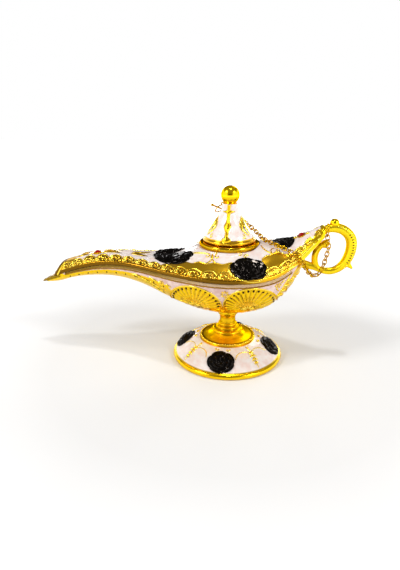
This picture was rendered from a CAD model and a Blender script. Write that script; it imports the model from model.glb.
"""Genie oil lamp: the cast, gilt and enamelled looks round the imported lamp."""

from functools import partial
from math import cos, pi, radians, sin

import bpy
import numpy as np
from mathutils import Matrix, Vector
from mathutils.bvhtree import BVHTree
from mathutils.kdtree import KDTree


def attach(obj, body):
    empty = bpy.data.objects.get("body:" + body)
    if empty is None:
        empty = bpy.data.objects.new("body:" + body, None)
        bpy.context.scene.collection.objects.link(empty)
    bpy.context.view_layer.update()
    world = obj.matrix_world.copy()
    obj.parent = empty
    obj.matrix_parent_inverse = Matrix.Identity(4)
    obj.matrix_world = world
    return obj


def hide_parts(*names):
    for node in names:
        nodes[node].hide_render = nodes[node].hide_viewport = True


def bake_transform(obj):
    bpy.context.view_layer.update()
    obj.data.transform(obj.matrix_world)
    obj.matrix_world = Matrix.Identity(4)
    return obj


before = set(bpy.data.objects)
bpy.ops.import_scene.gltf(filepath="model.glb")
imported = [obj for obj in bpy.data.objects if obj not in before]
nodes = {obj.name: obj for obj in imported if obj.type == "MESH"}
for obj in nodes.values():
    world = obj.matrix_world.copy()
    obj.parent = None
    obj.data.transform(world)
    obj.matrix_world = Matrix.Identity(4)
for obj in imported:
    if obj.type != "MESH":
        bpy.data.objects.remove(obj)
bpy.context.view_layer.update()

# Sizes are in millimetres, as in the solids, unless a line says otherwise
MM = 0.001
MERGE = 0.005 * MM
SIDES = (-1, 1)

# The body's seam: x, half width and rim height
SEAM = np.array(
    [
        (-131.8, 0.9, 49.8), (-127.0, 3.0, 52.2), (-119.0, 5.4, 55.4), (-108.0, 7.6, 59.6),
        (-97.0, 9.1, 63.0), (-86.0, 10.3, 65.4), (-75.0, 11.8, 66.4), (-64.5, 14.0, 66.4),
        (-54.0, 17.3, 65.8), (-44.0, 21.1, 65.0), (-33.5, 25.5, 64.4), (-23.0, 29.8, 64.2),
        (-12.0, 33.2, 64.1), (0.0, 34.8, 64.1), (12.0, 34.0, 64.4), (23.0, 30.2, 64.9),
        (32.0, 24.6, 66.4), (40.0, 18.8, 70.2), (46.0, 14.2, 74.4), (48.2, 12.5, 76.2),
        (55.0, 7.9, 82.4), (60.2, 4.6, 87.4),
    ]
)
RIM_OVERHANG = 0.9


# Scene helpers


def only(*pieces):
    """Select just these pieces, with the first active."""
    bpy.ops.object.select_all(action="DESELECT")
    for piece in pieces:
        piece.select_set(True)
    bpy.context.view_layer.objects.active = pieces[0]


def edit(piece, *steps):
    """Run each of these operators on the whole piece in edit mode."""
    only(piece)
    bpy.ops.object.mode_set(mode="EDIT")
    for step in steps:
        bpy.ops.mesh.select_all(action="SELECT")
        step()
    bpy.ops.object.mode_set(mode="OBJECT")


def modify(piece, kind, **settings):
    """Add a modifier with these settings to the piece and apply it."""
    only(piece)
    bpy.ops.object.modifier_add(type=kind)
    modifier = piece.modifiers[-1]
    for setting, value in settings.items():
        setattr(modifier, setting, value)
    bpy.ops.object.modifier_apply(modifier=modifier.name)


def paint(piece, material):
    """Give the piece this one material."""
    piece.data.materials.clear()
    piece.data.materials.append(material)


def finish_piece(piece, material, body, slot, *replaced):
    """Give the piece its material, body, slot and the nodes it stands for."""
    paint(piece, material)
    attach(piece, body)
    if replaced:
        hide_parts(*replaced)


def copy_at(pattern, place):
    """A copy of the pattern with its own mesh, moved by the matrix place."""
    copy = pattern.copy()
    copy.data = pattern.data.copy()
    copy.data.transform(place)
    bpy.context.collection.objects.link(copy)
    return copy


def joined(name, pieces):
    """The pieces joined into one object."""
    only(*pieces)
    bpy.ops.object.join()
    pieces[0].name = name
    return pieces[0]


def copies(name, pattern, places):
    """A copy of the pattern at each place, joined into one object in the pattern's stead."""
    made = joined(name, [copy_at(pattern, place) for place in places])
    bpy.data.objects.remove(pattern)
    return made


def cast_copy(node, name, voxel, passes):
    """A softened copy of a CAD node's mesh with even faces, as a casting's skin."""
    piece = copy_at(nodes[node], Matrix.Identity(4))
    piece.name = name
    piece.parent = None
    piece.matrix_world = Matrix.Identity(4)
    edit(piece, partial(bpy.ops.mesh.remove_doubles, threshold=MERGE))
    modify(piece, "REMESH", mode="VOXEL", voxel_size=voxel * MM)
    modify(piece, "SMOOTH", factor=0.5, iterations=passes)
    bpy.ops.object.shade_smooth()
    return piece


def points_of(piece):
    """The piece's vertices, in millimetres, and their normals."""
    count = len(piece.data.vertices)
    places = np.zeros(count * 3)
    normals = np.zeros(count * 3)
    piece.data.vertices.foreach_get("co", places)
    piece.data.vertices.foreach_get("normal", normals)
    return places.reshape(-1, 3) / MM, normals.reshape(-1, 3)


LEAST_WEIGHT = 0.004


def emboss(piece, heights):
    """Raise or sink each vertex along its normal by its height, with a Displace modifier."""
    tallest = max(float(np.abs(heights).max()), 1e-6)
    for sign in (1, -1):
        weights = np.clip(sign * heights / tallest, 0, 1)
        if weights.max() <= 0:
            continue
        group = piece.vertex_groups.new(name="relief")
        for index in np.nonzero(weights > LEAST_WEIGHT)[0]:
            group.add([int(index)], float(weights[index]), "REPLACE")
        strength = sign * tallest * MM
        modify(piece, "DISPLACE", strength=strength, mid_level=0, vertex_group="relief")
        piece.vertex_groups.clear()


def note(piece, name, values):
    """Store one number per vertex for the piece's finish to read."""
    layer = piece.data.attributes.new(name, "FLOAT", "POINT")
    layer.data.foreach_set("value", np.asarray(values, np.float32))


# Lines and profiles


def running_length(points):
    """The length along a line of points, from its start to each point."""
    return np.concatenate([[0], np.cumsum(np.linalg.norm(np.diff(points, axis=0), axis=1))])


def hermite(at, places, values):
    """Smooth interpolation of values at places."""
    slopes = np.gradient(values, places)
    index = np.clip(np.searchsorted(places, at) - 1, 0, len(places) - 2)
    step = places[index + 1] - places[index]
    t = np.clip((at - places[index]) / step, 0, 1)
    leave = (2 * t**3 - 3 * t**2 + 1) * values[index]
    leave = leave + (t**3 - 2 * t**2 + t) * step * slopes[index]
    reach = (3 * t**2 - 2 * t**3) * values[index + 1]
    reach = reach + (t**3 - t**2) * step * slopes[index + 1]
    return leave + reach


def smooth_line(points, count):
    """A smooth line of count points through the given points (any dimension)."""
    points = np.asarray(points, float)
    place = running_length(points)
    at = np.linspace(0, place[-1], count)
    return np.stack([hermite(at, place, column) for column in points.T], axis=1)


def step_up(values, edge, soft):
    """0 below edge, 1 above it, with a soft ramp of the given width."""
    t = np.clip((values - edge) / soft + 0.5, 0, 1)
    return t * t * (3 - 2 * t)


def hump(values, middle, width):
    """A smooth hump, 1 at the middle and falling off over the width."""
    return np.exp(-(((values - middle) / width) ** 2))


def seam_half(at):
    """The seam's half width at x."""
    return hermite(at, SEAM[:, 0], SEAM[:, 1])


def seam_rim(at):
    """The seam's height at x."""
    return hermite(at, SEAM[:, 0], SEAM[:, 2])


def turned(name, profile, steps):
    """A closed profile of (radius, height), spun about the lamp's axis."""
    bpy.ops.object.select_all(action="DESELECT")
    bpy.ops.mesh.primitive_plane_add(size=MM)
    piece = bpy.context.object
    piece.name = name
    bpy.ops.object.mode_set(mode="EDIT")
    bpy.ops.mesh.select_all(action="SELECT")
    bpy.ops.mesh.merge(type="CENTER")
    last = Vector((profile[0][0] * MM, 0, profile[0][1] * MM))
    bpy.ops.transform.translate(value=last)
    for radius, height in profile[1:]:
        point = Vector((radius * MM, 0, height * MM))
        bpy.ops.mesh.extrude_region_move(TRANSFORM_OT_translate={"value": point - last})
        last = point
    bpy.ops.object.mode_set(mode="OBJECT")
    edit(
        piece,
        partial(bpy.ops.mesh.spin, steps=steps, angle=2 * pi, center=(0, 0, 0), axis=(0, 0, 1)),
        partial(bpy.ops.mesh.remove_doubles, threshold=MERGE),
        partial(bpy.ops.mesh.normals_make_consistent, inside=False),
    )
    bpy.ops.object.shade_smooth()
    return piece


def ball_outline(radius, height, start, count):
    """A ball's outline, from the angle start at its neck to its top."""
    turn = np.linspace(start, pi, count)
    return [(radius * sin(a), height - radius * cos(a)) for a in turn]


# Ornament


def drop(name, size, turn=0.0, taper=0.0, segments=8):
    """A small raised lobe of the given half sizes, narrowed towards its +x end by taper."""
    bpy.ops.object.select_all(action="DESELECT")
    rings = max(segments // 2, 4)
    bpy.ops.mesh.primitive_uv_sphere_add(segments=segments, ring_count=rings, radius=1)
    piece = bpy.context.object
    piece.name = name
    edit(piece, partial(bpy.ops.transform.resize, value=[s * MM for s in size]))
    if taper:
        for vertex in piece.data.vertices:
            vertex.co.y *= 1 - taper * (vertex.co.x / (size[0] * MM) + 1) / 2
    piece.data.transform(Matrix.Rotation(radians(turn), 4, "Z"))
    bpy.ops.object.shade_smooth()
    return piece


def seat(point, normal, along):
    """The matrix that stands a motif on a surface: z out along normal, x along."""
    out = Vector(normal).normalized()
    run = Vector(along)
    run = (run - out * run.dot(out)).normalized()
    side = out.cross(run)
    place = Matrix((run, side, out)).transposed().to_4x4()
    place.translation = Vector(point) * MM
    return place


def wires(name, strokes):
    """Round wires joined into one object; each stroke is a list of (place, radius)."""
    bpy.ops.object.select_all(action="DESELECT")
    bpy.ops.curve.primitive_nurbs_path_add()
    piece = bpy.context.object
    piece.name = name
    piece.data.splines.clear()
    for stroke in strokes:
        spline = piece.data.splines.new("POLY")
        spline.points.add(len(stroke) - 1)
        for point, (place, radius) in zip(spline.points, stroke):
            point.co = (*(Vector(place) * MM), 1)
            point.radius = radius
    piece.data.bevel_depth = MM
    piece.data.bevel_resolution = 1
    piece.data.use_fill_caps = True
    only(piece)
    bpy.ops.object.convert(target="MESH")
    bpy.ops.object.shade_smooth()
    return piece


def draw(strokes, place, lift, finer=4):
    """Strokes of (u, v, radius) laid on a surface by place(u, v), smoothed, for wires.

    Each wire is lifted by this share of its radius and gets finer points per span.
    """
    laid = []
    for stroke in strokes:
        path = []
        for u, v, radius in smooth_line(stroke, finer * (len(stroke) - 1) + 1):
            point, normal = place(u, v)
            path.append((Vector(point) + Vector(normal) * lift * radius, radius))
        laid.append(path)
    return laid


CURL_WOUND = 0.72
STROKE_POINTS = 9


def curl(u, v, reach, start, sweep, thick=0.45, thin=0.3):
    """A stroke that winds from its outer end in to (u, v); angles in degrees."""
    stroke = []
    for t in np.linspace(0, 1, STROKE_POINTS):
        angle = radians(start + sweep * t)
        out = reach * (1 - CURL_WOUND * t)
        radius = thick + (thin - thick) * t
        stroke.append((u + out * cos(angle), v + out * sin(angle), radius))
    return stroke


def flower(u, v, reach, rays, radius):
    """The strokes of a small flower of rays round a dot."""
    strokes = [[(u - 0.1, v, radius * 1.25), (u + 0.1, v, radius * 1.25)]]
    for angle in 2 * pi * np.arange(rays) / rays:
        across, up = reach * cos(angle), reach * sin(angle)
        near = (u + 0.45 * across, v + 0.45 * up, radius * 0.8)
        strokes.append([near, (u + across, v + up, radius)])
    return strokes


LEAF_POINT = 0.12


def leaf(points, radius):
    """A spindle-shaped stroke through (u, v) points, at its thickest before the middle."""
    line = smooth_line(points, STROKE_POINTS)
    swell = np.sin(pi * np.linspace(0.06, 0.97, STROKE_POINTS) ** 0.8) ** 0.8
    return [(u, v, max(radius * w, LEAF_POINT)) for (u, v), w in zip(line, swell)]


class Surface:
    """A finished skin that ornament is laid on by looking at it along a line."""

    # How far off each look starts
    BESIDE, OVER, ROUND = 90, 150, 60

    def __init__(self, piece):
        self.tree = BVHTree.FromObject(piece, bpy.context.evaluated_depsgraph_get())

    def hit(self, start, aim):
        point, normal, _, _ = self.tree.ray_cast(Vector(start) * MM, Vector(aim))
        if point is None:
            point, normal, _, _ = self.tree.find_nearest(Vector(start) * MM)
        return point / MM, normal

    def side(self, x, z, side):
        return self.hit((x, side * self.BESIDE, z), (0, -side, 0))

    def above(self, x, y):
        return self.hit((x, y, self.OVER), (0, 0, -1))

    def around(self, azimuth, z):
        out = Vector((cos(azimuth), sin(azimuth), 0))
        return self.hit(out * self.ROUND + Vector((0, 0, z)), -out)


class Skin(Surface):
    """A body casting's skin, with each place's distance from the seam."""

    PAST_RIDGE = -0.8
    NEIGHBOURS = 5

    def __init__(self, piece, overhang):
        super().__init__(piece)
        self.places, self.normals = points_of(piece)
        x, y, z = self.places.T
        rim = seam_rim(x)
        self.away = np.hypot(z - rim, seam_half(x) + overhang - np.abs(y))
        self.outer = self.normals[:, 1] * y + self.normals[:, 2] * (z - rim) > 0
        self.trees = {}
        for side in SIDES:
            chosen = np.nonzero(self.outer & (y * side > self.PAST_RIDGE))[0]
            tree = KDTree(len(chosen))
            for index in chosen:
                tree.insert((x[index], self.away[index], 0), int(index))
            tree.balance()
            self.trees[side] = tree

    def spot(self, x, away, side):
        """The place and normal at x and this far from the seam, on one side."""
        near = self.trees[side].find_n((x, away, 0), self.NEIGHBOURS)
        weights = np.array([1 / (distance + 0.05) for _, _, distance in near])
        weights = weights / weights.sum()
        chosen = [index for _, index, _ in near]
        return weights @ self.places[chosen], weights @ self.normals[chosen]


# A rose's layers of petals, from the outermost: reach and height, as shares
ROSE_LAYERS = ((1.0, 0.2), (0.8, 0.45), (0.56, 0.66), (0.32, 0.85))
ROSE_PETALS = 5
ROSE_RIM = (0.985, 0.03)
# How far out a rose starts before it is projected on its casting
ROSE_START = 14


def petal_heights(places, notch):
    """The height of a rose of radius 1 at each place, as a share of its relief."""
    reach = np.hypot(places[:, 0], places[:, 1])
    angle = np.arctan2(places[:, 1], places[:, 0])
    height = np.full(len(reach), -0.05)
    for layer, (radius, base) in enumerate(ROSE_LAYERS):
        lobe = np.abs(np.cos(ROSE_PETALS * angle / 2 - (layer + 1) * pi / 2))
        edge = radius * (1 - notch + notch * lobe**0.6)
        inner = np.clip(reach / edge, 0, 1)
        cupped = 0.15 * inner**3 * lobe**0.5 - 0.12 * (1 - inner)
        petal = base + cupped - 0.12 * (1 - lobe) ** 5
        height = np.where(reach < edge, np.maximum(height, petal), height)
    rim = step_up(reach, *ROSE_RIM)
    return height * (1 - rim) - 0.15 * rim


def rose(name, size, place, out, along, target, relief, notch=0.1):
    """A rose laid on target: a disc projected on it, with layers of petals raised on the disc."""
    piece = turned(name, [(reach, 0.0) for reach in np.linspace(0, 1, 34)], 120)
    heights = petal_heights(points_of(piece)[0], notch)
    piece.matrix_world = seat(Vector(place) + Vector(out).normalized() * ROSE_START, out, along)
    piece.scale = (size[0] / 2, size[1] / 2, 1)
    bpy.context.view_layer.update()
    modify(
        piece, "SHRINKWRAP", target=target, wrap_method="PROJECT", use_project_z=True,
        use_negative_direction=True, use_positive_direction=False,
    )
    bpy.ops.object.transform_apply()
    if points_of(piece)[1].mean(axis=0) @ np.array(out) < 0:
        edit(piece, bpy.ops.mesh.flip_normals)
    emboss(piece, heights * relief)
    modify(piece, "SMOOTH", factor=0.4, iterations=1)
    bpy.ops.object.shade_smooth()
    return piece


# Finishes


class Wire:
    """A socket's value in a recipe, for arithmetic."""

    def __init__(self, recipe, socket):
        self.recipe = recipe
        self.socket = socket

    def math(self, operation, first, second):
        return self.recipe.node("ShaderNodeMath", {"operation": operation}, {0: first, 1: second})

    def __add__(self, other):
        return self.math("ADD", self, other)

    def __sub__(self, other):
        return self.math("SUBTRACT", self, other)

    def __rsub__(self, other):
        return self.math("SUBTRACT", other, self)

    def __mul__(self, other):
        return self.math("MULTIPLY", self, other)

    __radd__ = __add__
    __rmul__ = __mul__


class Recipe:
    """A node tree round one shader, built node by node."""

    def __init__(self, owner, shader):
        owner.use_nodes = True
        self.tree = owner.node_tree
        self.shader = self.tree.nodes[shader]

    def node(self, kind, settings, sockets, output=0):
        made = self.tree.nodes.new(kind)
        for setting, value in settings.items():
            setattr(made, setting, value)
        for socket, value in sockets.items():
            self.feed(made.inputs[socket], value)
        return Wire(self, made.outputs[output])

    def feed(self, socket, value):
        if isinstance(value, Wire):
            self.tree.links.new(value.socket, socket)
        else:
            socket.default_value = value

    def put(self, socket, value):
        self.feed(self.shader.inputs[socket], value)

    def mix(self, share, low, high):
        return self.node("ShaderNodeMix", {"data_type": "RGBA"}, {0: share, 6: low, 7: high}, 2)

    def ramp(self, value, low, high, start=0.0, end=1.0, kind="LINEAR"):
        sockets = {0: value, 1: low, 2: high, 3: start, 4: end}
        return self.node("ShaderNodeMapRange", {"interpolation_type": kind}, sockets)


class Finish(Recipe):
    """A procedural material."""

    def __init__(self, name, **fixed):
        self.material = bpy.data.materials.new(name)
        super().__init__(self.material, "Principled BSDF")
        for socket, value in fixed.items():
            self.put(socket.replace("_", " "), value)

    def place(self):
        return self.node("ShaderNodeTexCoord", {}, {}, "Object")

    def noise(self, scale, detail=2.0):
        sockets = {"Vector": self.place(), "Scale": scale, "Detail": detail}
        return self.node("ShaderNodeTexNoise", {}, sockets, "Fac")

    def read(self, name):
        return self.node("ShaderNodeAttribute", {"attribute_name": name}, {}, "Fac")

    def bump(self, height, strength):
        sockets = {"Strength": strength, "Distance": 0.2 * MM, "Height": height}
        self.put("Normal", self.node("ShaderNodeBump", {}, sockets, "Normal"))


GOLD_BRIGHT = (1.0, 0.69, 0.010, 1)
GOLD_WARM = (0.97, 0.58, 0.007, 1)
GOLD_PALE = (1.0, 0.81, 0.16, 1)
GOLD_OLIVE = (0.74, 0.38, 0.02, 1)
GOLD_DARK = (0.07, 0.026, 0.003, 1)
GOLD_EDGE = (0.70, 0.42, 0.03, 1)
ROPE_DEEP, ROPE_LIGHT = (0.28, 0.12, 0.02, 1), (0.50, 0.28, 0.03, 1)
LEAF_DEEP, LEAF_LIGHT = (0.38, 0.23, 0.015, 1), (0.62, 0.40, 0.03, 1)
SATIN_DEEP, SATIN_LIGHT = (0.88, 0.50, 0.008, 1), (0.97, 0.62, 0.01, 1)
CHAIN_DEEP, CHAIN_LIGHT = (0.50, 0.29, 0.009, 1), (0.75, 0.45, 0.012, 1)
HANDLE_LIGHT = (1.0, 0.75, 0.02, 1)
ENAMEL_WHITE, ENAMEL_PINK = (0.90, 0.83, 0.80, 1), (0.86, 0.68, 0.62, 1)
ENAMEL_SHADE, ENAMEL_ROSE = (0.82, 0.63, 0.58, 1), (0.68, 0.44, 0.39, 1)
BLACK_DEEP, BLACK_LIGHT = (0.007, 0.006, 0.005, 1), (0.020, 0.017, 0.015, 1)
BLACK_EDGE = (0.55, 0.55, 0.55, 1)
PIT_DEEP, PIT_LIGHT = (0.028, 0.012, 0.002, 1), (0.09, 0.04, 0.004, 1)
RED_DEEP, RED_LIGHT = (0.22, 0.001, 0.001, 1), (0.48, 0.004, 0.003, 1)
ZINC_DEEP, ZINC_LIGHT = (0.45, 0.45, 0.46, 1), (0.62, 0.62, 0.63, 1)


def gold_finish(name, low, high, rough, marked=False):
    """Gold plate with faint clouds and a slight hammered unevenness, dark where marked so."""
    finish = Finish(name, Metallic=1.0, Specular_Tint=GOLD_EDGE)
    cloud = finish.noise(90)
    plate = finish.mix(cloud, low, high)
    if marked:
        plate = finish.mix(finish.read("pit"), plate, GOLD_DARK)
    finish.put("Base Color", plate)
    finish.put("Roughness", cloud * 0.10 + rough)
    finish.bump(finish.noise(220), 0.10)
    return finish.material


def enamelled_finish(name, light, deep):
    """Pearl enamel and gold on one casting, told apart by the piece's own marks."""
    finish = Finish(name, Coat_Roughness=0.06)
    gilt = finish.read("gold")
    cloud = finish.noise(70, 3.0)
    brush = finish.ramp(finish.noise(260, 6.0), 0.38, 0.66)
    pearl = finish.mix(brush, light, deep)
    plate = finish.mix(cloud, GOLD_WARM, GOLD_BRIGHT)
    metal = finish.mix(finish.read("olive"), plate, GOLD_OLIVE)
    surface = finish.mix(gilt, pearl, metal)
    finish.put("Base Color", finish.mix(finish.read("pit"), surface, GOLD_DARK))
    finish.put("Metallic", gilt)
    finish.put("Roughness", 0.24 - gilt * 0.06 + cloud * 0.08)
    finish.put("Coat Weight", 0.6 - gilt * 0.6)
    finish.bump(finish.noise(240), 0.08)
    return finish.material


def clouded_finish(name, grain, low, high, rough, uneven, **fixed):
    """A plain finish of two near colours, whose roughness follows the same clouds."""
    finish = Finish(name, **fixed)
    cloud = finish.noise(grain)
    finish.put("Base Color", finish.mix(cloud, low, high))
    finish.put("Roughness", cloud * uneven + rough if uneven else rough)
    return finish.material


gold = gold_finish("gold_plate", GOLD_WARM, GOLD_BRIGHT, 0.14)
relief_gold = gold_finish("relief_gold", GOLD_BRIGHT, GOLD_PALE, 0.16)
rope_gold = gold_finish("rope_gold", ROPE_DEEP, ROPE_LIGHT, 0.25)
leaf_gold = gold_finish("leaf_gold", LEAF_DEEP, LEAF_LIGHT, 0.25)
satin_gold = gold_finish("satin_gold", SATIN_DEEP, SATIN_LIGHT, 0.26, marked=True)
handle_gold = gold_finish("handle_gold", GOLD_BRIGHT, HANDLE_LIGHT, 0.3)
deep_gold = gold_finish("deep_gold", CHAIN_DEEP, CHAIN_LIGHT, 0.14)
enamelled = enamelled_finish("enamelled_casting", ENAMEL_WHITE, ENAMEL_PINK)
shaded_enamel = enamelled_finish("enamelled_bowl", ENAMEL_SHADE, ENAMEL_ROSE)
black = clouded_finish(
    "black_enamel", 160, BLACK_DEEP, BLACK_LIGHT, 0.06, 0.06,
    Metallic=1.0, Specular_Tint=BLACK_EDGE,
)
pits = clouded_finish(
    "pit_gold", 200, PIT_DEEP, PIT_LIGHT, 0.6, 0, Metallic=0.2, Specular_IOR_Level=0.1
)
ruby = clouded_finish(
    "red_paste", 300, RED_DEEP, RED_LIGHT, 0.06, 0.1,
    Specular_IOR_Level=0.25, Coat_Weight=0.1, Coat_Roughness=0.03,
)
steel = clouded_finish("zinc_plate", 150, ZINC_DEEP, ZINC_LIGHT, 0.25, 0.2, Metallic=1.0)

# CAD nodes that keep their own shape
CLASP_AND_BEZELS = (
    "lid_eye", "lid_ring", "toggle_bar", "handle_ring", "spout_bezel", "tail_bezel"
)
for material, kept in (
    (deep_gold, CLASP_AND_BEZELS),
    (steel, ("tie_bolt", "tie_washer", "tie_nut")),
    (ruby, ("spout_stone", "tail_stone")),
):
    for node in kept:
        paint(nodes[node], material)


# Upper shell: enamel roof, gold border along the rim and gold fields

# The seam's length at each x, to space the border's motifs evenly along it
seam_x = np.linspace(-131.0, 60.0, 900)
seam_length = running_length(np.stack([seam_x, seam_half(seam_x), seam_rim(seam_x)], axis=1))
along_seam = partial(np.interp, xp=seam_x, fp=seam_length)
at_length = partial(np.interp, xp=seam_length, fp=seam_x)

# Border motifs: where each starts, along the seam, and its size
BORDER_START, BORDER_END = -113.0, 56.0
MOTIF_LENGTH = 9.8
MOTIF_SIZES = ((-113, -96, -50, 40, 58), (0.8, 0.98, 1.0, 1.0, 0.75))
motif_starts = [float(along_seam(BORDER_START))]
motif_sizes = []
while motif_starts[-1] < along_seam(BORDER_END):
    motif_sizes.append(float(np.interp(at_length(motif_starts[-1]), *MOTIF_SIZES)))
    motif_starts.append(motif_starts[-1] + MOTIF_LENGTH * motif_sizes[-1])

EDGE_SOFT = 0.5
DARK = 0.85
LEDGE, LEDGE_HEIGHT, LEDGE_WIDTH = 2.7, 0.3, 0.45
GROUND_DEPTH = 0.25
SCALLOP_LOW, SCALLOP_RISE = 5.4, 2.9
TAIL_START, TAIL_TIP = 43, 57
TAIL_RISE = ((40, 44), (0, 3.2))
# The gold fields by the lid: x and how far they reach from the seam, in slight waves
FIELD_X = (-46, -41, -36, -20, 4, 9.5, 10.5, 20.5, 21.5, 24, 30, 35, 39.5, 41)
FIELD_EDGE = (0, 9.5, 11.6, 13.2, 14.6, 14.8, 8, 8, 15.5, 18.2, 18.4, 14.2, 10.6, 0)
FIELD_WAVE, FIELD_PITCH = 0.6, 9.5
# The spout's end is gold all over, up to a lobed edge
LIP_EDGE, LIP_LOBE, LIP_PITCH = -104.5, 2.6, 4.4
ALL_GOLD = 30
# The plane of the spout's slanted mouth
MOUTH_X, MOUTH_HEIGHT, MOUTH_SLANT = -118.4, 54.5, 0.635


def tail_rise(at):
    """How much further from the seam the border lies on the tail."""
    return np.interp(at, *TAIL_RISE)


def field_top(at):
    """How far the gold field reaches from the seam at x."""
    wave = FIELD_WAVE * np.sin(np.asarray(at) * 2 * pi / FIELD_PITCH)
    return np.interp(at, FIELD_X, FIELD_EDGE) + wave


def scallop_top(at):
    """How far the scalloped border reaches from the seam at x."""
    run = along_seam(at)
    motif = np.clip(np.searchsorted(motif_starts, run) - 1, 0, len(motif_sizes) - 1)
    size = np.array(motif_sizes)[motif]
    share = (run - np.array(motif_starts)[motif]) / (MOTIF_LENGTH * size)
    arch = np.sin(pi * np.clip(share, 0, 1)) ** 0.6
    return (SCALLOP_LOW + SCALLOP_RISE * arch) * size + tail_rise(at)


def make_shell():
    """The shell's casting, marked for its finish, with a ledge along the rim."""
    piece = cast_copy("upper_shell", "shell_casting", 0.5, 5)
    skin = Skin(piece, RIM_OVERHANG)
    x, y, z = skin.places.T
    scallop = scallop_top(x)
    lip_edge = LIP_EDGE + LIP_LOBE * np.abs(np.sin(y * pi / LIP_PITCH))
    border = np.where((x < lip_edge) | (x > TAIL_TIP), ALL_GOLD, scallop)
    field = 1 - step_up(skin.away, np.maximum(border, field_top(x)), EDGE_SOFT)
    past_ledge = step_up(skin.away, LEDGE, EDGE_SOFT)
    on_ledge = 1 - past_ledge
    on_border = (x < TAIL_START) * (x > BORDER_START)
    ground = past_ledge * (1 - step_up(skin.away, scallop, EDGE_SOFT)) * on_border
    note(piece, "gold", np.maximum(field, ~skin.outer))
    dull_field = 0.7 * field * (1 - step_up(x, TAIL_START, 2))
    dull_ledge = 0.9 * on_ledge * (1 - step_up(x, 16, 24))
    note(piece, "olive", np.maximum.reduce([0.9 * ground, dull_field, dull_ledge]))
    inside = DARK * ~skin.outer
    from_mouth = x - MOUTH_SLANT * (z - MOUTH_HEIGHT)
    mouth = DARK * (1 - step_up(from_mouth, MOUTH_X, EDGE_SOFT))
    between = (0.35 + 0.3 * (1 - step_up(x, -35, 30))) * ground
    under_ledge = DARK * on_ledge * (1 - step_up(x, 16, 20))
    note(piece, "pit", np.maximum.reduce([inside, mouth, between, under_ledge]))
    ledge = LEDGE_HEIGHT * hump(skin.away, LEDGE, LEDGE_WIDTH) - GROUND_DEPTH * ground
    emboss(piece, np.where(skin.outer, ledge, 0))
    finish_piece(piece, enamelled, "lamp", "enamel", "upper_shell")
    return piece


# Bowl: scallop fans, an enamel stripe and V under the seam

# The fans in side view: middle, reach and hub as (x, z), and the rim's angles in degrees
FANS = (
    ((-20.0, 45.5), (17.5, 14.5), (-20.6, 44.0), (-18, 194)),
    ((15.5, 46.0), (17.0, 15.0), (13.6, 43.5), (-3, 198)),
)
FAN_RIBS = 15
FAN_RIB_HEIGHT, FAN_RIB_SINK = 1.1, 0.6
# Where a fan's ribs start and end, as shares of its reach, and how softly
FAN_RIB_ROOT, FAN_RIB_END = (0.22, 0.15), (0.9, 0.08)
# The enamel's lower edge: its distance from the seam, and its height over the belly
STRIPE_X = (-115, -112, -108, -75, -50, -40, -36, 39, 44)
STRIPE_EDGE = (0.0, 1.8, 2.4, 4.6, 6.0, 8.2, 9.0, 9.0, 0.0)
V_X, V_HEIGHT = (-38, -30, -2, 26, 31, 39), (56, 46, 45.5, 46, 50, 66)
BELLY_START, BELLY_END = -37, 39
SCALE_LONG, SCALE_HIGH, SCALE_RELIEF = 4.2, 3.6, 0.3
SCALES_START, SCALES_END, SCALES_TOP = -48, 36, 43.0
LOBE_LONG, LOBE_RELIEF, LOBES_END = 3.4, 0.4, -38
BOWL_RELIEF = 0.8


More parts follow.
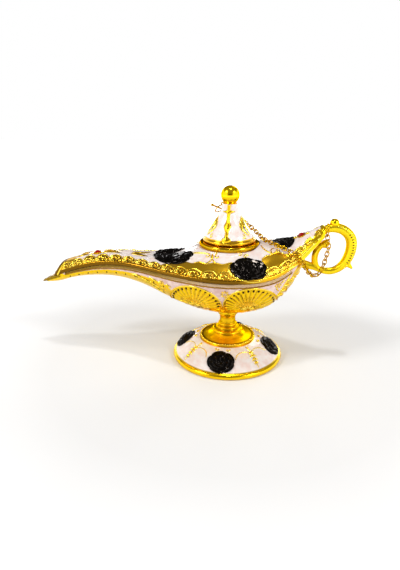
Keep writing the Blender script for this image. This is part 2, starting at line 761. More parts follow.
def make_bowl():
    """The bowl's casting, marked for its finish, with ribs, scales and lobes."""
    piece = cast_copy("bowl", "bowl_casting", 0.6, 5)
    skin = Skin(piece, 0)
    x, _, z = skin.places.T
    relief, in_fan, grooves = np.zeros((3, len(x)))
    for (mx, mz), (rx, rz), (hx, hz), _ in FANS:
        reach = np.hypot((x - mx) / rx, (z - mz) / rz)
        rib = np.abs(np.sin(np.arctan2((z - hz) / rz, (x - hx) / rx) * FAN_RIBS))
        upper = step_up(z, hz - 1.0, 1.0)
        ribbed = (1 - step_up(reach, *FAN_RIB_END)) * step_up(reach, *FAN_RIB_ROOT)
        relief = relief + (FAN_RIB_HEIGHT * rib**0.7 - FAN_RIB_SINK) * ribbed * upper
        grooved = (reach < 0.92) * step_up(reach, 0.25, 0.1)
        grooves = np.maximum(grooves, (1 - rib) ** 3 * upper * grooved)
        in_fan = np.maximum(in_fan, 1 - step_up(reach, 1.0, 0.04))
    rows = 0.5 * np.floor(x / SCALE_LONG) * pi
    scales = np.abs(np.sin(x * pi / SCALE_LONG)) * np.abs(np.sin(z * pi / SCALE_HIGH + rows))
    scaled = (1 - step_up(z, SCALES_TOP, 1.0)) * (x > SCALES_START) * (x < SCALES_END)
    relief = relief + SCALE_RELIEF * scales * scaled
    stripe = np.interp(x, STRIPE_X, STRIPE_EDGE)
    above_v = z > np.interp(x, V_X, V_HEIGHT)
    on_belly = (x > BELLY_START) & (x < BELLY_END)
    enamel = np.where(on_belly, above_v, skin.away < stripe) * (1 - in_fan)
    lobes = np.abs(np.sin(x * pi / LOBE_LONG)) * (x < LOBES_END)
    lobes = lobes * step_up(skin.away, stripe + 0.8, 0.6)
    relief = relief + LOBE_RELIEF * lobes * (1 - step_up(skin.away, stripe + 4.2, 1.0))
    under_seam = (1 - step_up(skin.away, 2.4, 2.0)) * (x > -112) * (x < 40) * skin.outer
    browned = under_seam * np.interp(x, (-45, -15), (0.9, 0.4))
    note(piece, "gold", np.maximum.reduce([1 - enamel, ~skin.outer, browned]))
    note(piece, "olive", np.where(skin.outer, 0.0, 0.7))
    inside = ~skin.outer * DARK * step_up(x, -118, 3)
    beak = 0.78 * (1 - step_up(skin.away, 2.3, 0.6)) * (1 - step_up(x, -116, 2))
    shaded = under_seam * np.interp(x, (-45, -15), (0.8, 0.36))
    note(piece, "pit", np.maximum.reduce([inside, beak, grooves * 0.6, shaded]))
    emboss(piece, np.where(skin.outer, relief * BOWL_RELIEF, 0))
    finish_piece(piece, shaded_enamel, "lamp", "gold", "bowl")
    return piece


# Wires and pits on the bowl's flanks, in side view, and the palmette at its rear
FLANK_FLOWERS = (
    *flower(-0.2, 56.6, 2.6, 8, 0.55),
    *flower(31.9, 60.4, 1.9, 6, 0.5),
    *flower(-42.0, 58.2, 1.7, 6, 0.5),
)
FLANK_LEAVES = (
    leaf([(30.8, 58.8), (32.8, 55.4)], 0.5),
    leaf([(33.4, 61.6), (35.8, 63.6)], 0.5),
    leaf([(-38.6, 57.6), (-35.0, 55.6)], 0.6),
    leaf([(-45.0, 58.6), (-50.5, 60.4)], 0.6),
)
V_WIRE = [(31.2, 50.4, 0.45), (34.6, 56.6, 0.55), (37.2, 61.6, 0.5), (39.2, 66.6, 0.4)]
V_LEAVES = [
    leaf([(u, v), (u + 2.2, v - 0.2), (u + 3.4, v - 1.6)], 0.8)
    for u, v in ((32.6, 51.6), (34.4, 55.2), (36.2, 58.8), (38.0, 62.4))
]
ROOT_LEAVES = (
    leaf([(-63, 60.8), (-58.5, 60.0), (-54.5, 58.2)], 0.7),
    leaf([(-57, 58.8), (-52.5, 57.4), (-48.5, 55.0)], 0.85),
    leaf([(-50.5, 56.6), (-46.5, 54.6), (-43, 51.4)], 0.85),
    leaf([(-55, 56.8), (-50.5, 54.6), (-47, 51.8)], 0.65),
    leaf([(-47.5, 52.4), (-44, 50.4), (-41, 47.4)], 0.75),
    leaf([(-43.6, 55.4), (-41.6, 53.4), (-40.2, 50.6)], 0.6),
)
ROOT_PITS = (
    (-60, 58.9), (-55.6, 57.6), (-52.0, 55.8), (-48.4, 53.4),
    (-45.0, 51.6), (-42.0, 49.2), (-44.6, 53.0), (-41.6, 51.6),
)
PALMETTE_HUB, PALMETTE_REACH, PALMETTE_RADIUS = 47.5, 16, 33
PALMETTE = [
    leaf(
        [
            (0, PALMETTE_HUB),
            (PALMETTE_REACH * sin(a) * 0.5, PALMETTE_HUB + PALMETTE_REACH * cos(a) * 0.45),
            (PALMETTE_REACH * sin(a), PALMETTE_HUB + 15 * cos(a)),
        ],
        1.1,
    )
    for a in np.radians(range(-75, 76, 25))
]
for way in SIDES:
    PALMETTE.append(curl(way * 9.5, 61.0, 2.6, 90 + way * 60, -way * 320, 0.8, 0.4))
    PALMETTE.append(leaf([(way * 3.0, 65.5), (way * 6.0, 64.0), (way * 10.5, 66.0)], 0.8))
SPOUT_PITS_AWAY = ((-125, -108, -75, -50, -40), (3.8, 5.0, 7.2, 8.6, 10.8))
SPOUT_PITS_START, SPOUT_PITS_END, SPOUT_PITS_PITCH = -109.0, -40.0, 6.8
PIT_TIP = 0.87


def draw_fan(fan, flank):
    """A fan's wires and pits: its rim, dashes on the ribs, a pit at each rib's end, its hub."""
    (mx, mz), (rx, rz), (hx, hz), ends = fan
    arc = np.radians(np.linspace(*ends, 28))
    strokes = [[(mx + rx * cos(a), mz + rz * sin(a), 0.5) for a in arc]]
    pit_places = []
    root = Vector((hx, hz))
    for a in pi * np.arange(FAN_RIBS + 1) / FAN_RIBS:
        tip = Vector((mx + PIT_TIP * rx * cos(a), mz + PIT_TIP * rz * sin(a)))
        point, normal = flank(*tip)
        ahead, _ = flank(*(tip + (tip - root).normalized()))
        pit_places.append(seat(point, normal, ahead - point))
        for share in (0.3, 0.52):
            strokes.append([(*root.lerp(tip, share), 0.2), (*root.lerp(tip, share + 0.16), 0.3)])
    petal_turns = np.radians(range(0, 181, 30))
    hub = [leaf([(hx, hz), (hx + 4.4 * cos(a), hz + 3.6 * sin(a))], 0.8) for a in petal_turns]
    return draw(strokes, flank, 0.1, 2) + draw(hub, flank, 0.2, 1), pit_places


def dress_bowl(bowl):
    """Fans, flowers and leaves on both flanks, the rear palmette, and dark pits among them."""
    lines = []
    pit_places = []
    for side in SIDES:
        flank = partial(bowl.side, side=side)
        for fan in FANS:
            fan_lines, fan_pits = draw_fan(fan, flank)
            lines += fan_lines
            pit_places += fan_pits
        lines += draw(FLANK_FLOWERS, flank, 0.2) + draw(FLANK_LEAVES, flank, 0.2, 1)
        lines += draw([V_WIRE], flank, 0.1) + draw(V_LEAVES, flank, 0.1, 1)
        lines += draw(ROOT_LEAVES, flank, 0.0, 1)
        for u, v in ROOT_PITS:
            pit_places.append(seat(*flank(u, v), (0.8, 0, -0.6)) @ Matrix.Scale(0.8, 4))
        for at in np.arange(SPOUT_PITS_START, SPOUT_PITS_END, SPOUT_PITS_PITCH):
            point, normal = bowl.spot(at, np.interp(at, *SPOUT_PITS_AWAY), side)
            pit_places.append(seat(point, normal, (0, 0, 1)) @ Matrix.Scale(0.85, 4))

    def rear(u, v):
        return bowl.around(u / PALMETTE_RADIUS, v)

    lines += draw(PALMETTE, rear, -0.3, 1)
    finish_piece(wires("fan_trim", lines), relief_gold, "lamp", "gold")
    pit = drop("pit", (0.95, 0.42, 0.18), taper=-1.6)
    finish_piece(copies("fan_pits", pit, pit_places), pits, "lamp", "gold")


ROPE_START, ROPE_END, ROPE_PITCH = -112.0, 46.0, 0.95
ROPE_AWAY = ((-112, -80), (1.6, 3.0))


def rope_seam(bowl):
    """Rope trim along the bowl, under the seam."""
    places = []
    for side in SIDES:
        at = ROPE_START
        while at < ROPE_END:
            away = np.interp(at, *ROPE_AWAY)
            point, normal = bowl.spot(at, away, side)
            ahead, _ = bowl.spot(at + 1.5, away, side)
            run = Vector(ahead - point)
            places.append(seat(point, normal, run))
            at += ROPE_PITCH * max(run.x / max(run.length, 0.1), 0.35)
    strand = drop("strand", (0.95, 0.42, 0.42), turn=38)
    finish_piece(copies("rope_trim", strand, places), rope_gold, "lamp", "gold")


# Leaf-scroll border along the shell's rim, one motif repeated
MOTIF = [
    [
        (-4.8, 5.0, 0.3), (-3.6, 7.0, 0.4), (-1.6, 8.1, 0.45),
        (0.5, 8.3, 0.45), (2.8, 7.4, 0.4), (4.6, 5.4, 0.3),
    ],
    leaf([(-4.5, 3.3), (-3.6, 4.8), (-2.4, 5.9), (-0.9, 6.6)], 0.95),
    leaf([(-4.0, 3.2), (-2.6, 3.7), (-1.1, 3.5)], 0.75),
    leaf([(2.6, 3.2), (3.7, 4.0), (4.3, 5.2)], 0.7),
    *flower(1.0, 5.1, 1.75, 7, 0.42),
    [(-5.1, 6.8, 0.55), (-4.9, 6.8, 0.55)],
]
ROSE_GAP = (3.0, 23.5)


def border_rim(shell):
    """The border's motifs along both rims, with a gap for the rose on each flank."""
    lines = []
    for side in SIDES:
        for start, size in zip(motif_starts, motif_sizes):
            middle = start + MOTIF_LENGTH / 2 * size
            at = at_length(middle)
            if ROSE_GAP[0] < at < ROSE_GAP[1]:
                continue
            rise = float(tail_rise(at))

            def rim_place(u, v, side=side, middle=middle, size=size, rise=rise):
                return shell.spot(at_length(middle + u * size), v * size + rise, side)

            for path in draw(MOTIF, rim_place, 0.2, 2):
                lines.append([(point, radius * size) for point, radius in path])
    finish_piece(wires("border_scrolls", lines), relief_gold, "lamp", "gold")


# Wires and small ornaments on the roof: by x and distance from the seam, or seen from above
FIELD_WIRES = ((-20.0, 9.0), (21.5, 38.0))
FIELD_ENDS = (
    [(21.5, 9.0, 0.35), (21.4, 15.6, 0.35)],
    [(9.2, 9.4, 0.3), (9.2, 14.6, 0.3)],
)
ROOF_WIRES = (
    [(-22.9, -12.9, 0.5), (-17.5, -15.2, 0.5), (-12.2, -17.3, 0.5)],
    [
        (20.6, -7.6, 0.3), (22.0, -11.4, 0.4), (24.4, -14.6, 0.45),
        (27.4, -16.2, 0.45), (30.4, -14.6, 0.4),
    ],
)
ROOF_CURLS = (
    curl(-12.4, -19.0, 1.8, 90, -300),
    curl(-6.0, -20.0, 1.8, 90, 300),
    curl(7.6, -18.6, 1.6, 150, -300),
    curl(11.4, -19.6, 1.6, 30, 300),
    curl(30.6, -13.2, 1.6, -90, 300),
    [(27.4, -16.2, 0.3), (26.6, -13.2, 0.4), (28.2, -11.4, 0.3)],
)
ROOF_LEAVES = (
    leaf([(-9.3, -22.2), (-9.3, -17.6)], 0.9),
    leaf([(-9.2, -22.0), (-11.4, -24.4), (-13.6, -24.6)], 0.5),
    leaf([(-9.2, -22.0), (-7.0, -24.6), (-5.0, -25.6)], 0.5),
)
TAIL_BANDS = (1.3, 3.7)
TAIL_BAND = ((37.5, 0.45), (42, 0.85), (47, 0.9), (52, 0.85), (57, 0.6))
STONE_LEAVES = (
    leaf([(43.2, -2.4), (40.6, -2.0)], 0.8),
    leaf([(48.2, -3.2), (50.8, -3.4)], 0.8),
    leaf([(-91.6, -3.2), (-94.2, -3.6)], 0.7),
    leaf([(-86.4, -2.8), (-83.8, -2.6)], 0.7),
)
SPOUT_LEAVES = (
    leaf([(-66.0, -1.6), (-60.0, -2.4), (-53.6, -5.2)], 1.7),
    leaf([(-86.0, -1.4), (-79.8, -1.0), (-72.0, -2.8)], 1.6),
    leaf([(-102.4, -3.4), (-98.5, -2.6), (-93.8, -2.4)], 1.6),
)

# The roses on the flanks: the middle and the way out on the far side
FLANK_ROSE = Vector((13.4, 28.0, 72.4))
FLANK_ROSE_OUT = Vector((0.07, 0.6, 0.8))
RING_REACH = (12.0, 8.9)
LIP_LOW, LIP_HIGH = np.array((-117.9, 55.6)), np.array((-111.6, 65.3))


def on_side(vector, side):
    """The vector, mirrored to one side of the lamp."""
    return Vector((vector.x, vector.y * side, vector.z))


def rose_ring(shell, side):
    """The wire that runs round the upper edge of a flank's rose."""
    out = on_side(FLANK_ROSE_OUT, side).normalized()
    ahead = Vector((1, 0, 0))
    across = out.cross(ahead).normalized() * -side
    ring = []
    for a in np.radians(np.linspace(160, 380, 30)):
        aim = ahead * RING_REACH[0] * cos(a) + across * RING_REACH[1] * sin(a)
        start = on_side(FLANK_ROSE, side) + aim + out * ROSE_START
        point, normal = shell.hit(start, -out)
        ring.append((point + normal * 0.1, 0.42))
    return ring


def spout_lip(shell):
    """The wire round the spout's mouth, up one side and down the other."""
    lip = []
    for side in SIDES:
        for share in np.linspace(0.06, 0.95, 14)[::-side]:
            point, normal = shell.side(*(LIP_LOW + (LIP_HIGH - LIP_LOW) * share), side)
            lip.append((point + normal * 0.1, 0.62))
    return lip


def dress_roof(shell):
    """Field edges, scrolls, leaves, tail bands, rose rings and the spout's lip and leaves."""
    lines = []
    for side in SIDES:
        roof = partial(shell.spot, side=side)

        def top(u, v, side=side):
            return shell.above(u, -v * side)

        for ends in FIELD_WIRES:
            wire = [(at, float(field_top(at)), 0.35) for at in np.linspace(*ends, 40)]
            lines += draw([wire], roof, 0.2, 1)
        lines += draw(FIELD_ENDS, roof, 0.2) + draw(ROOF_WIRES, top, 0.3)
        lines += draw(ROOF_CURLS, top, 0.3, 2) + draw(ROOF_LEAVES, top, 0.3, 1)
        bands = [[(at, away, radius) for at, radius in TAIL_BAND] for away in TAIL_BANDS]
        lines += draw(bands, roof, -0.25)
        lines.append(rose_ring(shell, side))
    lines.append(spout_lip(shell))
    lines += draw(STONE_LEAVES, shell.above, 0.2, 1)
    finish_piece(wires("roof_trim", lines), relief_gold, "lamp", "gold")
    mirrored = [[(u, -v, radius) for u, v, radius in stroke] for stroke in SPOUT_LEAVES]
    leaves = draw([*SPOUT_LEAVES, *mirrored], shell.above, -0.45, 1)
    finish_piece(wires("spout_leaves", leaves), leaf_gold, "lamp", "gold")


# Roses on the roof; the spout's has two wings: side, size, middle and run
SPOUT_WINGS = (
    (-1, (33.5, 17.5), (-36.0, -8.2, 71.7), (28, -18, 4)),
    (1, (22.0, 13.0), (-41.0, 9.3, 70.0), (28, 17, 3)),
)


def roof_roses(shell_piece):
    """The black roses on both flanks, over the spout's root and on the tail."""
    for side, node in zip(SIDES, ("front_rose", "back_rose")):
        petals = rose(
            f"{node}_petals", (23.0, 16.8), on_side(FLANK_ROSE, side),
            on_side(FLANK_ROSE_OUT, side), (1, 0, 0), shell_piece, 2.4,
        )
        finish_piece(petals, black, "lamp", "black", node)
    wings = []
    for side, size, middle, along in SPOUT_WINGS:
        out = (-0.12, 0.28 * side, 0.95)
        name = f"spout_wing_{side + 2}"
        wings.append(rose(name, size, middle, out, along, shell_piece, 2.2, notch=0.14))
    finish_piece(joined("spout_rose_petals", wings), black, "lamp", "black", "spout_rose")
    petals = rose(
        "tail_rose_petals", (14.6, 19.4), (35.0, -2.2, 83.4), (-0.17, 0, 0.98), (1, 0, 0.17),
        shell_piece, 2.2,
    )
    finish_piece(petals, black, "lamp", "black", "tail_rose")


# Handle: x, height and radius along its loop, and what sits on it
HANDLE_LOOP = (
    (65.2, 92.6, 2.6), (72, 91.2, 2.9), (77, 85.6, 3.2),
    (77.6, 78.4, 3.2), (74.6, 70, 2.8), (68.6, 64.8, 2.1),
)
BEAD_PITCH = 1.7
BEAD_LEAN, BEAD_LIFT = 58, 0.05
TICK_LEAN, TICK_LIFT = 84, 0.36
TICK_LOW, TICK_HIGH = 70.0, 89.5


def make_handle():
    """The handle, with beads and dark ticks along the outer side of its loop."""
    piece = cast_copy("handle", "handle_casting", 0.45, 4)
    _, normals = points_of(piece)
    emboss(piece, 0.4 * (1 - np.clip(normals[:, 0] * 1.6, 0, 1)))
    finish_piece(piece, handle_gold, "lamp", "gold", "handle")
    loop = smooth_line(HANDLE_LOOP, 400)
    length = running_length(loop[:, :2])
    beads = []
    ticks = []
    for at in np.arange(2.5, length[-1] - 1.5, BEAD_PITCH):
        px, pz, radius = (np.interp(at, length, column) for column in loop.T)
        qx, qz = (np.interp(at + 0.2, length, column) for column in loop.T[:2])
        middle = Vector((px, 0, pz))
        run = Vector((qx - px, 0, qz - pz)).normalized()
        out = Vector((-run.z, 0, run.x))
        for places, lean, lift in ((beads, BEAD_LEAN, BEAD_LIFT), (ticks, TICK_LEAN, TICK_LIFT)):
            for side in SIDES:
                away = Matrix.Rotation(radians(side * lean), 3, run) @ out
                places.append(seat(middle + away * (radius + lift), away, run))
    ticks = [place for place in ticks if TICK_LOW < place.translation.z / MM < TICK_HIGH]
    tick = drop("tick", (0.42, 0.62, 0.12))
    finish_piece(copies("handle_ticks", tick, ticks), pits, "lamp", "gold")
    bead = drop("bead", (0.6, 0.75, 0.5), segments=10)
    finish_piece(copies("handle_beads", bead, beads), relief_gold, "lamp", "gold")


# Foot: profile as (radius, height), and its ornament as (run, distance from the axis)
BOLT_HOLE = 2.25
FOOT_TOP = 14.2
FOOT_PROFILE = [
    (BOLT_HOLE, FOOT_TOP), (BOLT_HOLE, 9.2), (7.5, 9.2), (7.5, 11.8), (17.2, 11.8), (22, 10.4),
    (26.35, 8.1), (31, 4.6), (34.4, 1.2), (34.4, 0), (36.8, 0), (37.6, 0.5),
    (38.0, 1.8), (37.8, 2.8), (37.2, 3.5),
    *smooth_line(((36.7, 3.6), (33.0, 6.6), (28.4, 10.5), (23.5, 12.9), (18.4, FOOT_TOP)), 30),
    (10, FOOT_TOP), (BOLT_HOLE, FOOT_TOP),
]
FOOT_RIM, FOOT_CROWN = 35.6, 19.4
SPRIG = [[(0, 21.6, 0.3), (0.4, 24.4, 0.35), (0, 30.4, 0.4), (0, 35.0, 0.25)]]
for away, reach in ((25.6, 2.0), (27.6, 2.5), (29.6, 2.1), (31.4, 1.4)):
    SPRIG += [leaf([(0, away), (way * reach, away + 1.7)], 0.65) for way in SIDES]
SPRIG += flower(0, 21.9, 1.0, 3, 0.4)
TENDRIL = ((0, 26.2, 0.25), (3.0, 24.9, 0.3), (6.1, 24.7, 0.3), (10, 26.2, 0.3), (12.8, 29.0, 0.25))
SPRIG += [[(way * u, v, radius) for u, v, radius in TENDRIL] for way in SIDES]
CROWN_CURLS = (curl(-3.4, 21.7, 1.4, 200, -280), curl(3.4, 21.7, 1.4, -20, 280))
FOOT_TURN, SPRIG_TURN = -94, 44
FOOT_ROSE_AWAY = 30.2


def make_foot():
    """The foot with four black roses, and sprigs and scroll wires between them."""
    piece = turned("foot_casting", FOOT_PROFILE, 144)
    places, normals = points_of(piece)
    radius = np.hypot(places[:, 0], places[:, 1])
    gilt = (radius > FOOT_RIM) | (normals[:, 2] < -0.2) | (radius < FOOT_CROWN)
    note(piece, "gold", gilt)
    note(piece, "olive", np.zeros(len(radius)))
    note(piece, "pit", np.zeros(len(radius)))
    finish_piece(piece, enamelled, "lamp", "enamel", "foot")
    foot = Surface(piece)

    def dome_place(u, v, turn):
        return foot.above(v * cos(turn + u / v), v * sin(turn + u / v))

    lines = []
    roses = []
    for quarter in range(4):
        turn = radians(FOOT_TURN + 90 * quarter)
        lines += draw(SPRIG, partial(dome_place, turn=turn + radians(SPRIG_TURN)), 0.2, 2)
        lines += draw(CROWN_CURLS, partial(dome_place, turn=turn), 0.2, 2)
        point, normal = dome_place(0, FOOT_ROSE_AWAY, turn)
        around = Vector((-sin(turn), cos(turn), 0))
        name = f"foot_rose_{quarter + 1}"
        roses.append(rose(name, (18.6, 16.0), point, normal, around, piece, 2.4))
    finish_piece(joined("foot_rose_petals", roses), black, "lamp", "black", "foot_roses")
    finish_piece(wires("foot_trim", lines), relief_gold, "lamp", "gold")


# Stem: flange, bell, three ring mouldings and the neck
STEM_TOP = 31.4
STEM_PROFILE = [
    (BOLT_HOLE, STEM_TOP), (BOLT_HOLE, FOOT_TOP),
    (18.9, FOOT_TOP), (18.9, 15.3), (18.6, 15.5),
    *smooth_line(((17.6, 15.5), (14.6, 16.0), (11.8, 17.0), (9.9, 18.4)), 14),
    (9.5, 18.7), (10.1, 18.9), (10.4, 19.3), (10.4, 19.8), (10.1, 20.3), (9.2, 20.55),
    (8.0, 20.7), (7.2, 21.0), (7.5, 21.25), (7.75, 21.6), (7.75, 22.0), (7.4, 22.4),
    (6.3, 22.65), (5.6, 22.95), (6.1, 23.3), (6.45, 23.7), (6.5, 24.1), (6.2, 24.6), (5.5, 24.9),
    *smooth_line(((5.3, 25.3), (5.4, 26.4), (5.3, 28.2), (5.6, 30.0), (6.6, STEM_TOP)), 14),
    (BOLT_HOLE, STEM_TOP),
]
STEM_GROOVES = (18.65, 20.85, 22.9, 25.1)
FLANGE_BEADS, FLANGE_BEAD, FLANGE_BEADS_AWAY = 72, 0.62, 18.4


def make_stem():
    """The stem, dark in its grooves, with a ring of beads round its flange."""
    piece = turned("stem_casting", STEM_PROFILE, 96)
    bead = drop("bead", (FLANGE_BEAD, FLANGE_BEAD, FLANGE_BEAD))
    places = []
    for a in 2 * pi * np.arange(FLANGE_BEADS) / FLANGE_BEADS:
        middle = Vector((FLANGE_BEADS_AWAY * cos(a), FLANGE_BEADS_AWAY * sin(a), 15.3))
        places.append(Matrix.Translation(middle * MM))
    beads = copies("flange_beads", bead, places)
    x, y, z = points_of(piece)[0].T
    radius = np.hypot(x, y)
    grooved = np.clip(sum(hump(z, groove, 0.22) for groove in STEM_GROOVES), 0, 1)
    channel = (radius > 16.9) * (radius < 18.2) * (z > 15)
    note(piece, "pit", 0.75 * np.maximum(grooved * (radius < 16), channel))
    finish_piece(piece, satin_gold, "lamp", "gold", "stem")
    finish_piece(beads, relief_gold, "lamp", "gold")


COLLAR_PROFILE = [
    (17.4, 82.4), (14.6, 82.4), (14.6, 74.4), (16.6, 74.4), (16.6, 79.0),
    *smooth_line(((18.6, 79.0), (19.5, 80.0), (19.8, 81.0), (19.3, 82.0), (17.4, 82.4)), 18),
]


def make_collar():
    """The polished ring round the lid's opening."""
    piece = turned("collar_ring", COLLAR_PROFILE, 128)
    finish_piece(piece, deep_gold, "lamp", "gold", "mouth_collar")


# Lid: ogee cone with two ribs, between them a lyre of beaded bands on each side
LID_TOP, LID_RIM = 106.8, 85.9
LID_CONE = smooth_line(
    (
        (16.2, 85.1), (14.8, 87.9), (12.0, 91.4), (9.3, 95.2),
        (7.3, 98.8), (5.9, 102.0), (5.2, 104.8), (4.8, LID_TOP),
    ),
    90,
)
LID_PROFILE = [
    *LID_CONE,
    (1.65, LID_TOP), (1.65, 96.0), (5.2, 96.0), (12.65, 85.1), (12.65, 78.0), (14.25, 78.0),
    (14.25, 82.5), (16.4, 82.5), (17.0, 83.0), (17.2, 83.8), (17.0, 84.6), (16.2, 85.1),
]
LID_TURN = -4
RIB_HALF = 1.1
# Where the ribs widen: height, by how much and over what height
RIB_KNOTS = ((93.5, 1.3, 2.2), (86.4, 2.0, 1.0), (102.2, 3.2, 0.6))
LYRE_BANDS = (
    ((1.2, 98.0), (2.6, 95.2), (3.8, 92.6), (4.6, 90.2), (5.4, 88.2)),
    ((2.0, 97.9), (5.0, 95.6), (7.2, 93.2), (8.3, 91.0), (7.8, 89.0), (5.8, 88.0)),
)
LYRE_GROOVE = ((2.0, 96.6), (4.6, 94.0), (6.0, 91.6), (6.1, 89.4))
LYRE_BEADS = smooth_line(
    ((1.8, 98.6), (5.4, 96.3), (8.3, 93.8), (9.7, 91.2), (9.2, 88.8), (7.4, 87.5)), 17
)
LYRE_BEAD = 0.42
# The curls by the rim: azimuth and the way that each winds
RIM_CURLS = ((-135, 1), (-50, -1), (45, -1), (130, 1))


def make_lid():
    """The lid's casting, with its two ribs raised and gilt."""
    piece = turned("lid_casting", LID_PROFILE, 180)
    places, normals = points_of(piece)
    x, y, z = places.T
    from_rib = (np.degrees(np.arctan2(y, x)) - LID_TURN) % 180 - 90
    across = np.abs(np.radians(from_rib) * np.hypot(x, y))
    rib = RIB_HALF + sum(wider * hump(z, knot, tall) for knot, wider, tall in RIB_KNOTS)
    in_rib = (1 - step_up(across, rib, 0.3)) * (z > 85) * (z < 106.5)
    rim = z < LID_RIM
    gilt = in_rib + rim + (normals[:, 2] < -0.4) + (z > 106.6)
    note(piece, "gold", np.clip(gilt, 0, 1))
    note(piece, "olive", np.where(in_rib > 0.5, 0.4, np.where(rim, 0.8, 0.0)))
    note(piece, "pit", np.zeros(len(x)))
    emboss(piece, in_rib * (1.0 - 0.75 * np.clip(across / rib, 0, 1)))
    finish_piece(piece, enamelled, "lid", "enamel", "lid")
    return piece


def dress_lid(lid):
    """The lyres and the curls by the rim."""

    def lid_place(u, v, azimuth):
        turn = u / np.interp(v, LID_CONE[:, 1], LID_CONE[:, 0])
        return lid.around(radians(azimuth) + turn, v)

    bands = []
    dots = []
    grooves = []
    for way in SIDES:
        bands += [leaf([(way * u, v) for u, v in band], 1.5) for band in LYRE_BANDS]
        grooves.append(leaf([(way * u, v) for u, v in LYRE_GROOVE], 1.0))
        for u, v in LYRE_BEADS:
            dots.append([(way * u - 0.05, v, LYRE_BEAD), (way * u + 0.05, v, LYRE_BEAD)])
    lines = []
    groove_lines = []
    for azimuth in (LID_TURN, 180 + LID_TURN):
        place = partial(lid_place, azimuth=azimuth)
        lines += draw(bands, place, -0.45, 1) + draw(dots, place, 0.2, 1)
        groove_lines += draw(grooves, place, -0.8, 1)
    for azimuth, way in RIM_CURLS:
        rim_curl = curl(0, 87.6, 1.4, 90, way * 300)
        lines += draw([rim_curl], partial(lid_place, azimuth=azimuth), 0.2, 2)
    finish_piece(wires("lid_trim", lines), relief_gold, "lid", "gold")
    finish_piece(wires("lid_grooves", groove_lines), pits, "lid", "gold")


FINIAL_STUD = [(0.0, 98.8), (1.6, 98.8), (1.6, LID_TOP), (3.6, LID_TOP), (3.7, 107.2)]
KNOB_SHANK = [(0.0, 91.9), (1.0, 91.9), (1.0, 94.4)]
KNOB_X = 65.8


def make_balls():
    """The finial on the lid and the knob on the handle's root."""
    finial = turned("finial_ball", FINIAL_STUD + ball_outline(6.0, 112.0, 0.68, 40), 96)
    finish_piece(finial, gold, "lid", "gold", "finial")
    knob = turned("handle_ball", KNOB_SHANK + ball_outline(2.9, 95.6, 1.144, 24), 48)
    knob.data.transform(Matrix.Translation((KNOB_X * MM, 0, 0)))
    finish_piece(knob, gold, "lamp", "gold", "handle_knob")


# Chain: one smooth oval link, copied to each of the solids' links
LINK_BEND, LINK_WIRE, LINK_STRAIGHT = 1.31, 0.36, 0.53
# Metres: so long that each link keeps one share of both bodies all over
BLEND_SPAN = 10


def make_link():
    """A round link, drawn out to an oval along x."""
    bpy.ops.object.select_all(action="DESELECT")
    bpy.ops.mesh.primitive_torus_add(
        major_radius=LINK_BEND * MM, minor_radius=LINK_WIRE * MM,
        major_segments=20, minor_segments=8,
    )
    link = bpy.context.object
    bpy.ops.object.shade_smooth()
    for vertex in link.data.vertices:
        vertex.co.x += (LINK_STRAIGHT if vertex.co.x > 0 else -LINK_STRAIGHT) * MM
    return link


def link_places(node):
    """The matrix of each link of a chain node, from its loose parts, by x."""
    mesh = nodes[node].data
    places = points_of(nodes[node])[0] * MM
    keys = {}
    rounded = np.round(places * 1e5).astype(int)
    merged = [keys.setdefault(tuple(place), len(keys)) for place in rounded]
    parent = list(range(len(keys)))

    def root(key):
        while parent[key] != key:
            parent[key] = parent[parent[key]]
            key = parent[key]
        return key

    for polygon in mesh.polygons:
        first, *rest = [merged[vertex] for vertex in polygon.vertices]
        for other in rest:
            parent[root(other)] = root(first)
    groups = {}
    for index, key in enumerate(merged):
        groups.setdefault(root(key), []).append(index)
    found = []
    for members in groups.values():
        own = np.unique(np.round(places[members], 7), axis=0)
        middle = own.mean(axis=0)
        _, _, axes = np.linalg.svd(own - middle)
        found.append(seat(middle / MM, axes[2], axes[0]))
    return sorted(found, key=lambda place: place.translation.x)


def make_chain():
    """The chain by the handle in one piece, and over the roof link by link, to stretch."""
    link = make_link()
    places = link_places("chain_over_roof")
    for index, place in enumerate(places):
        piece = copy_at(link, place)
        piece.name = f"chain_over_roof_link_{index + 1}"
        paint(piece, deep_gold)
        share = (index + 0.5) / len(places)
        start = place.translation - Vector((0, 0, BLEND_SPAN * share))
        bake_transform(piece)
        if index == 0:
            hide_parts("chain_over_roof")
    handle_chain = copies("handle_chain", link, link_places("chain_by_handle"))
    finish_piece(handle_chain, deep_gold, "lamp", "gold", "chain_by_handle")


# Stage, light and camera, in metres
FLOOR_GREY = (0.82, 0.82, 0.82, 1)
FLOOR_GLOW = (1.3, 1.3, 1.3, 1)
WALL_DIM, CEILING_DIM = (0.08, 0.08, 0.08, 1), (0.3, 0.29, 0.28, 1)
PANEL_BRIGHT = (1.35, 1.35, 1.35, 1)
WHITE, NO_LIGHT = (1, 1, 1, 1), (0, 0, 0, 1)
# Each softbox: place, the height on the lamp's axis that it is aimed at, size and watts
SOFTBOXES = {
    "key": ((-0.7, -0.45, 0.75), 0.06, 0.22, 4.2),
    "fill": ((0.75, -0.4, 0.7), 0.06, 0.2, 3.0),
    "top": ((0.04, -0.1, 0.95), 0.06, 0.07, 1.6),
    "back": ((0.25, 0.8, 0.55), 0.06, 0.3, 1.0),
    "left_glint": ((-0.44, 0.86, 0.24), 0.02, 0.2, 1.0),
    "right_glint": ((0.44, 0.86, 0.24), 0.02, 0.2, 1.0),
}
CAMERA_PLACE = (0.01592, -0.28710, 0.1544)
CAMERA_TILT, CAMERA_TURN = 70.26, 7.0
CAMERA_LENS, CAMERA_SENSOR = 28.42, 36


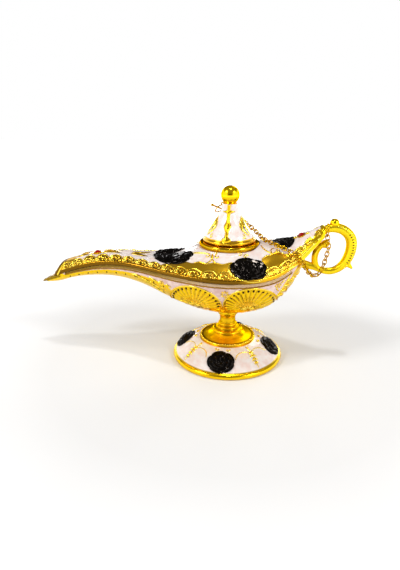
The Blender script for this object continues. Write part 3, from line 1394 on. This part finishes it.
def make_floor():
    """A pale floor that glows more the further it is from the lamp."""
    bpy.ops.object.select_all(action="DESELECT")
    bpy.ops.mesh.primitive_plane_add(size=8)
    floor = bpy.context.object
    floor.name = "floor"
    finish = Finish("pale_floor", Roughness=0.9, Emission_Strength=1.0)
    finish.put("Base Color", FLOOR_GREY)
    length = {"operation": "LENGTH"}
    away = finish.node("ShaderNodeVectorMath", length, {0: finish.place()}, "Value")
    far = finish.ramp(away, 0.12, 0.7, 0.05, 1.0)
    finish.put("Emission Color", finish.mix(far, NO_LIGHT, FLOOR_GLOW))
    floor.data.materials.append(finish.material)


def make_studio():
    """A wide bright panel on each side, dim walls and ceiling, white behind the lamp."""
    world = bpy.data.worlds.new("studio")
    bpy.context.scene.world = world
    sky = Recipe(world, "Background")
    soften = partial(sky.ramp, kind="SMOOTHSTEP")
    way = sky.node("ShaderNodeTexCoord", {}, {}, "Generated")
    across = sky.node("ShaderNodeSeparateXYZ", {}, {0: way}, "X")
    up = sky.node("ShaderNodeSeparateXYZ", {}, {0: way}, "Z")
    aside = sky.node("ShaderNodeMath", {"operation": "ABSOLUTE"}, {0: across})
    panel = soften(aside, 0.45, 0.6) * (1 - soften(up, 0.38, 0.52))
    walls = sky.mix(soften(up, 0.2, 0.45), WALL_DIM, CEILING_DIM)
    seen = sky.node("ShaderNodeLightPath", {}, {}, "Is Camera Ray")
    sky.put("Color", sky.mix(seen, sky.mix(panel, walls, PANEL_BRIGHT), WHITE))


def softbox(name, place, aim_height, size, power):
    """A square area light at place, aimed at this height on the lamp's axis."""
    light = bpy.data.lights.new(name, "AREA")
    light.size = size
    light.energy = power
    box = bpy.data.objects.new(name, light)
    box.location = place
    aim = Vector((0, 0, aim_height)) - Vector(place)
    box.rotation_euler = aim.to_track_quat("-Z", "Y").to_euler()
    bpy.context.collection.objects.link(box)


def make_camera():
    """The camera at the photograph's viewing angle."""
    camera = bpy.data.objects.new("camera", bpy.data.cameras.new("camera"))
    bpy.context.collection.objects.link(camera)
    camera.location = CAMERA_PLACE
    camera.rotation_euler = (radians(CAMERA_TILT), 0, radians(CAMERA_TURN))
    camera.data.lens = CAMERA_LENS
    camera.data.sensor_width = CAMERA_SENSOR
    camera.data.clip_start = 0.01
    bpy.context.scene.camera = camera
    bpy.context.scene.view_settings.view_transform = "Standard"


# The lamp, piece by piece
shell_piece = make_shell()
shell = Skin(shell_piece, RIM_OVERHANG)
bowl = Skin(make_bowl(), 0)
dress_bowl(bowl)
rope_seam(bowl)
border_rim(shell)
dress_roof(shell)
roof_roses(shell_piece)
make_handle()
make_foot()
make_stem()
make_collar()
dress_lid(Surface(make_lid()))
make_balls()
make_chain()

# The studio
make_floor()
make_studio()
for name, settings in SOFTBOXES.items():
    softbox(name, *settings)
make_camera()
